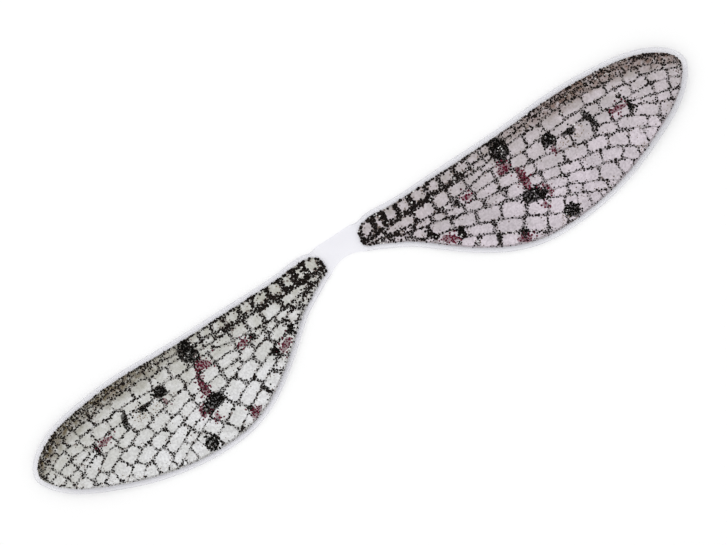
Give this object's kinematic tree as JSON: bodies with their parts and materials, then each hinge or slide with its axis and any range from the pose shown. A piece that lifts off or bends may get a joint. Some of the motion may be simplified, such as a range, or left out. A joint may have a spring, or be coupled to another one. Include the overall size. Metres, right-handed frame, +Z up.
{
  "type": "film insect wing pair",
  "caption": "Mirrored pair of printed insect wings die-cut from thin clear film, joined by a narrow band that is tied down and lets each wing fold and twist.",
  "frame": {"origin": "underside of the film at the middle of the tie band, on the span line", "axes": "+X along the right wing's span, +Y towards both leading edges, +Z up out of the printed side"},
  "size_m": [0.0518, 0.0084, 0.0002],
  "materials": {
    "film": "glossy clear film, lightly frosted",
    "pale_wash": "satin half see-through ink",
    "vein_ink": "dotted near-black ink, satin",
    "spot_ink": "dense near-black ink, satin",
    "red_ink": "dark rose ink, satin",
    "tan_ink": "thin olive-tan ink, satin"
  },
  "bodies": {
    "tie": {"tie_band": "film"},
    "right_neck": {"right_neck": "film"},
    "left_neck": {"left_neck": "film"},
    "right_wing": {"right_wing_film": "film", "right_cell_wash": "pale_wash", "right_vein_net": "vein_ink", "right_dark_spots": "spot_ink", "right_red_flecks": "red_ink", "right_tan_tint": "tan_ink"},
    "left_wing": {"left_wing_film": "film", "left_cell_wash": "pale_wash", "left_vein_net": "vein_ink", "left_dark_spots": "spot_ink", "left_red_flecks": "red_ink", "left_tan_tint": "tan_ink"}
  },
  "joints": [
    {"name": "right_fold", "type": "hinge", "parent": "tie", "child": "right_neck", "pos_m": [0.00057, 0, 0.00005], "axis": [0, -1, 0], "range_deg": [0, 65], "stiffness_Nm_per_rad": 0.0005},
    {"name": "right_twist", "type": "hinge", "parent": "right_neck", "child": "right_wing", "pos_m": [0.00139, 0, 0.00005], "axis": [-1, 0, 0], "range_deg": [0, 30], "stiffness_Nm_per_rad": 0.0007},
    {"name": "left_fold", "type": "hinge", "parent": "tie", "child": "left_neck", "pos_m": [-0.00057, 0, 0.00005], "axis": [0, 1, 0], "range_deg": [0, 65], "stiffness_Nm_per_rad": 0.0005},
    {"name": "left_twist", "type": "hinge", "parent": "left_neck", "child": "left_wing", "pos_m": [-0.00139, 0, 0.00005], "axis": [-1, 0, 0], "range_deg": [0, 30], "stiffness_Nm_per_rad": 0.0007}
  ]
}
